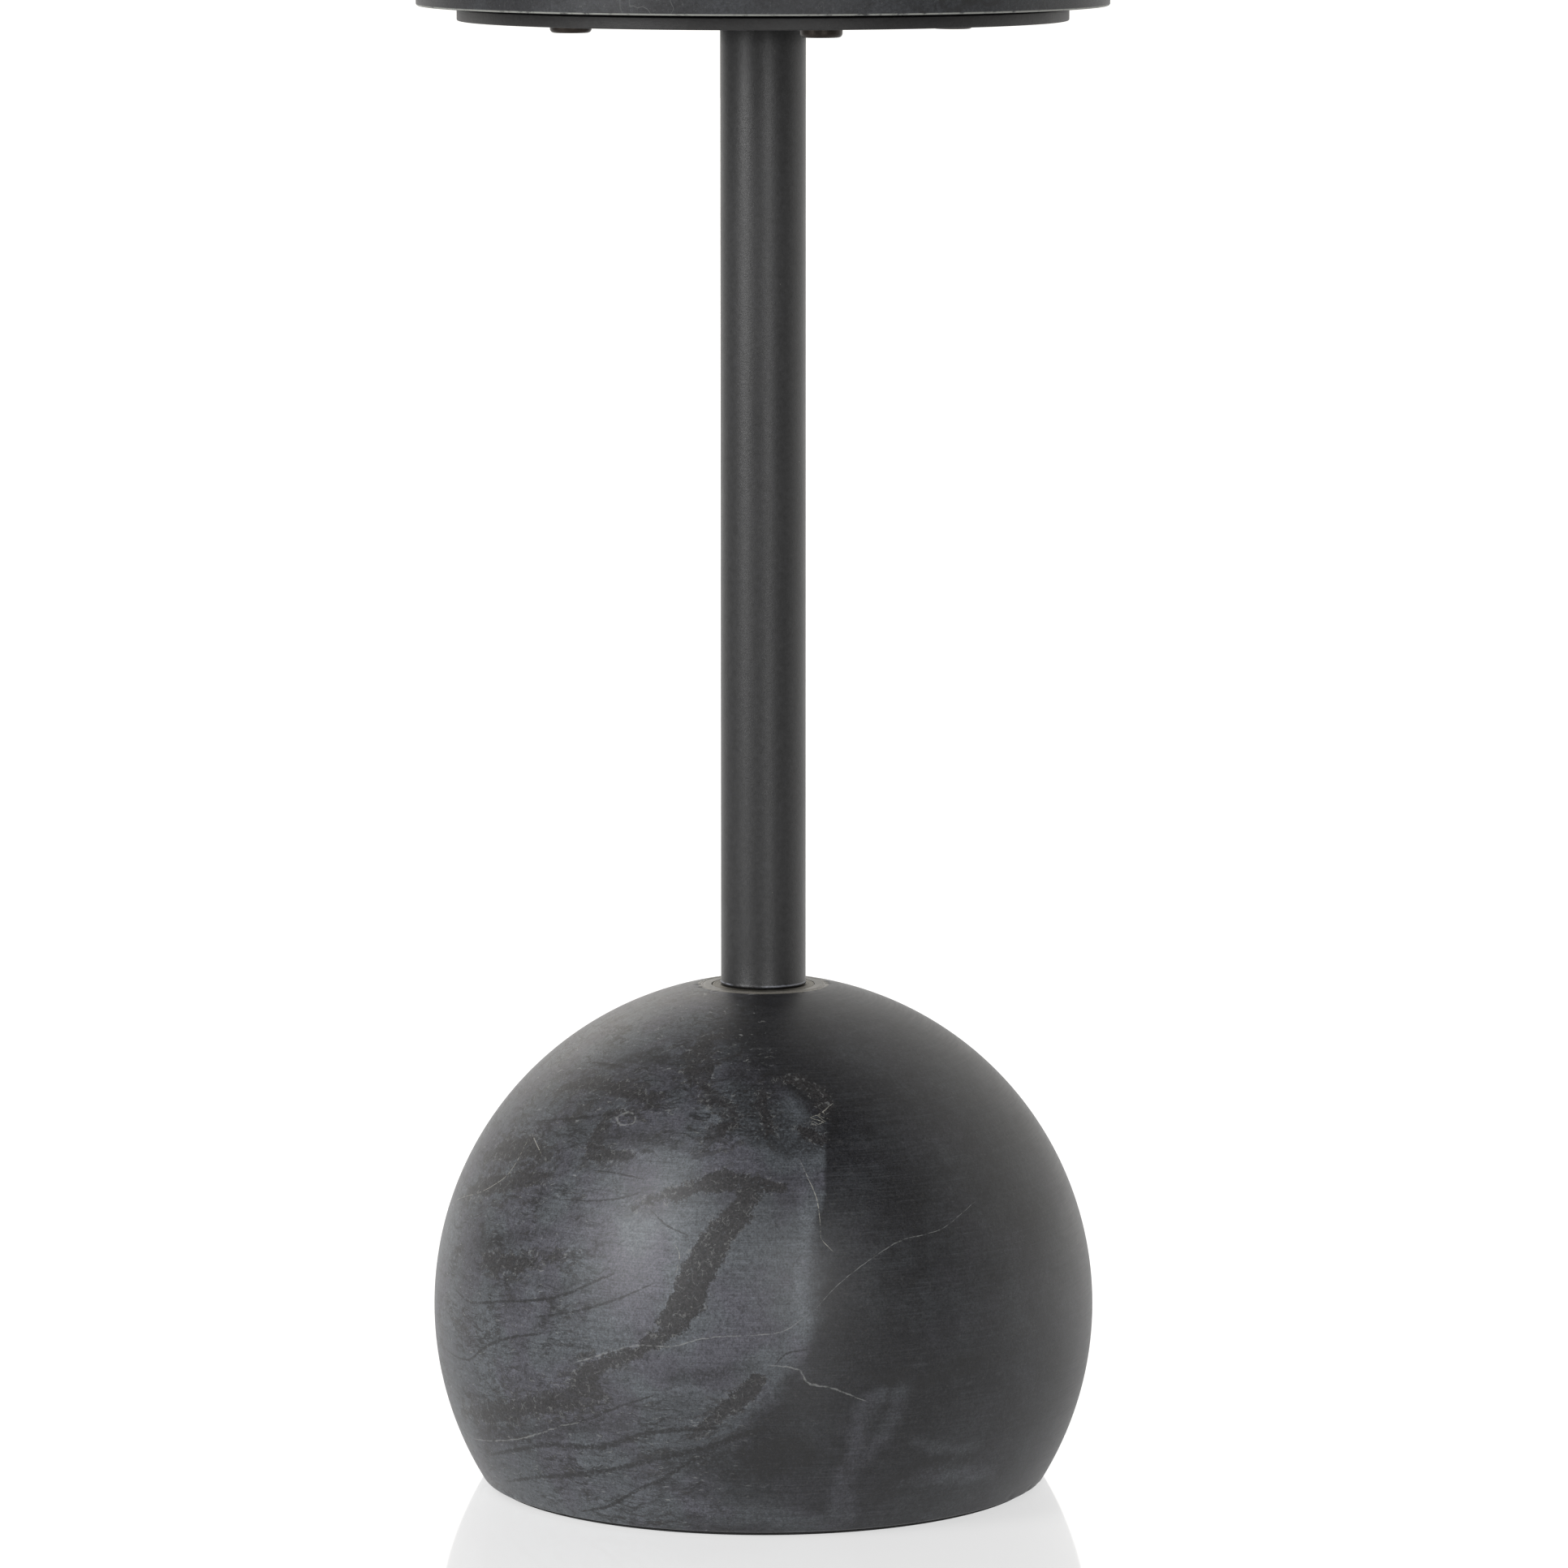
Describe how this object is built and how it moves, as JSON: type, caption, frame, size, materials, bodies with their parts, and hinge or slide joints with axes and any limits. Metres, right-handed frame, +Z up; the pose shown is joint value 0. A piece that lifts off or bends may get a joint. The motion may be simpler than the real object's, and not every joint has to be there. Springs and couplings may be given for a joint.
{
  "type": "pedestal table",
  "caption": "Small round pedestal table: a stone disc bolted to a steel plate, a black tube column, and a flat-footed marble ball base.",
  "frame": {"origin": "centre of the base pad's lower face, on the floor under the column's axis", "axes": "+Z up along the column's axis, -Y towards the front"},
  "size_m": [0.256, 0.256, 0.571],
  "materials": {
    "top_marble": "satin",
    "black_marble": "satin",
    "black_powder_coat": "satin",
    "black_satin_paint": "satin",
    "black_oxide_steel": "satin",
    "dusty_steel": "matte",
    "zinc_plated_steel": "satin",
    "bare_steel": "satin",
    "brass": "satin",
    "black_foam": "matte",
    "black_rubber": "matte"
  },
  "bodies": {
    "root": {"stone_top": "top_marble", "top_gasket": "black_rubber", "threaded_insert_1": "brass", "threaded_insert_2": "brass", "threaded_insert_3": "brass", "threaded_insert_4": "brass", "mounting_plate": "black_powder_coat", "top_bolt_1": "black_oxide_steel", "top_bolt_2": "black_oxide_steel", "top_bolt_3": "black_oxide_steel", "top_bolt_4": "black_oxide_steel", "upper_weld_bead": "black_powder_coat", "column_tube": "black_satin_paint", "column_plug": "bare_steel", "foot_flange": "dusty_steel", "marble_base": "black_marble", "tie_rod": "zinc_plated_steel", "base_washer": "zinc_plated_steel", "spring_washer": "zinc_plated_steel", "hex_nut": "zinc_plated_steel", "base_pad": "black_foam"}
  },
  "joints": []
}
